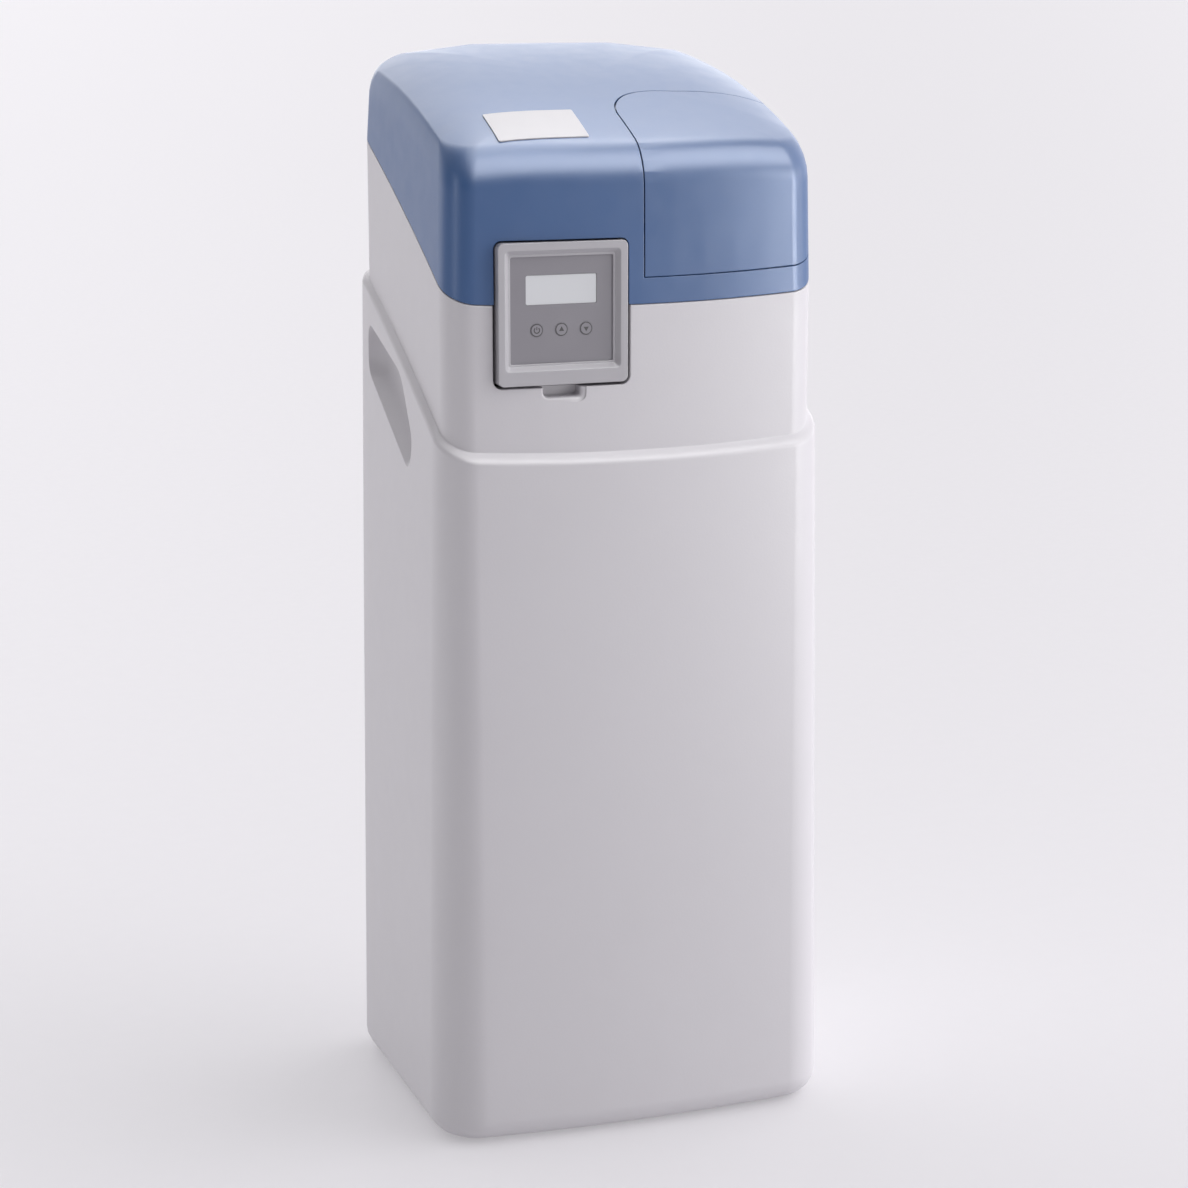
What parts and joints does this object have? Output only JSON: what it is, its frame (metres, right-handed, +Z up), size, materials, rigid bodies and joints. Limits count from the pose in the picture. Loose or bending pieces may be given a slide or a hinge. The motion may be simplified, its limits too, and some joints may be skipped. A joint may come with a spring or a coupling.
{
  "type": "water softener",
  "caption": "Slim cabinet water softener with a lift-off lid, a hinged salt flap, a push-button control head and rear pipe connectors.",
  "frame": {"origin": "on the floor under the middle of the cabinet, where its base stands", "axes": "+Z up, front with the control head towards -Y, +X to the right seen from the front"},
  "size_m": [0.3208, 0.2953, 0.8247],
  "materials": {
    "cabinet_plastic": "fine moulded grain, light warm grey",
    "lid_plastic": "satin steel blue",
    "bezel_plastic": "satin light grey",
    "fascia_film": "matt mid grey",
    "display": "pale display window",
    "button_plastic": "matt mid grey, printed with a ring and a plain sign",
    "badge": "bare white plate",
    "board": "green solder mask",
    "valve_plastic": "black glass-filled plastic",
    "gear_plastic": "white acetal",
    "pale_plastic": "natural plastic",
    "tank_shell": "wound glass fibre under a blue coat",
    "resin": "amber resin beads",
    "seal_rubber": "black rubber",
    "steel": "plain steel"
  },
  "bodies": {
    "base": {"cabinet": "cabinet_plastic", "bezel": "bezel_plastic", "fascia_panel": "fascia_film", "display_window": "display", "circuit_board": "board", "drive_bracket": "valve_plastic", "drive_motor": "steel", "bezel_screws": "steel", "valve_body": "valve_plastic", "seal_stack": "seal_rubber", "injector_cap": "valve_plastic", "brine_elbow": "pale_plastic", "drain_elbow": "pale_plastic", "inlet_connector": "valve_plastic", "outlet_connector": "valve_plastic", "tank_o_ring": "seal_rubber", "resin_tank": "tank_shell", "tank_boot": "valve_plastic", "resin_bed": "resin", "riser_tube": "pale_plastic", "bottom_strainer": "valve_plastic", "top_strainer": "valve_plastic", "salt_platform": "pale_plastic", "brine_well": "pale_plastic", "well_cap": "pale_plastic", "pickup_valve": "pale_plastic", "brine_line": "pale_plastic", "overflow_elbow": "valve_plastic", "overflow_nut": "valve_plastic", "lead_grommet": "seal_rubber"},
    "flap": {"salt_flap": "lid_plastic"},
    "lid": {"lid_cover": "lid_plastic", "badge_plate": "badge", "hinge_pins": "steel"},
    "power_key": {"power_button": "button_plastic"},
    "up_key": {"up_button": "button_plastic"},
    "down_key": {"down_button": "button_plastic"},
    "drive_wheel": {"drive_gear": "gear_plastic"},
    "reduction": {"reduction_gear": "gear_plastic"},
    "pinion": {"motor_pinion": "gear_plastic"},
    "valve_piston": {"piston": "pale_plastic"},
    "turbine": {"flow_turbine": "gear_plastic"},
    "brine_float": {"float": "gear_plastic"}
  },
  "joints": [
    {"name": "lid_lift", "type": "slide", "parent": "base", "child": "lid", "axis": [0, 0, 1], "range_m": [0, 0.2]},
    {"name": "flap_hinge", "type": "hinge", "parent": "lid", "child": "flap", "pos_m": [0, 0.013, 0.78704], "axis": [-1, 0, 0], "range_deg": [0, 95]},
    {"name": "power_press", "type": "slide", "parent": "base", "child": "power_key", "axis": [0, 1, 0], "range_m": [0, 0.0008], "stiffness_N_per_m": 600},
    {"name": "up_press", "type": "slide", "parent": "base", "child": "up_key", "axis": [0, 1, 0], "range_m": [0, 0.0008], "stiffness_N_per_m": 600},
    {"name": "down_press", "type": "slide", "parent": "base", "child": "down_key", "axis": [0, 1, 0], "range_m": [0, 0.0008], "stiffness_N_per_m": 600},
    {"name": "drive_turn", "type": "hinge", "parent": "base", "child": "drive_wheel", "pos_m": [-0.06, -0.06394, 0.6185], "axis": [0, 1, 0], "range_deg": [0, 560]},
    {"name": "reduction_turn", "type": "hinge", "parent": "base", "child": "reduction", "pos_m": [-0.06, -0.06394, 0.6489], "axis": [0, 1, 0], "range_deg": [-2100, 0]},
    {"name": "pinion_turn", "type": "hinge", "parent": "base", "child": "pinion", "pos_m": [-0.06, -0.06394, 0.6729], "axis": [0, 1, 0], "range_deg": [0, 5800]},
    {"name": "piston_slide", "type": "slide", "parent": "base", "child": "valve_piston", "axis": [0, -1, 0], "range_m": [0, 0.024]},
    {"name": "turbine_spin", "type": "hinge", "parent": "base", "child": "turbine", "pos_m": [-0.034, 0.104, 0.6045], "axis": [0, 1, 0], "continuous": true},
    {"name": "float_rise", "type": "slide", "parent": "base", "child": "brine_float", "axis": [0, 0, 1], "range_m": [0, 0.06]}
  ],
  "couplings": [
    {"joint": "drive_turn", "follows": "piston_slide", "rad_per_m": 392.7},
    {"joint": "reduction_turn", "follows": "piston_slide", "rad_per_m": -1472.6},
    {"joint": "pinion_turn", "follows": "piston_slide", "rad_per_m": 4049.7}
  ]
}
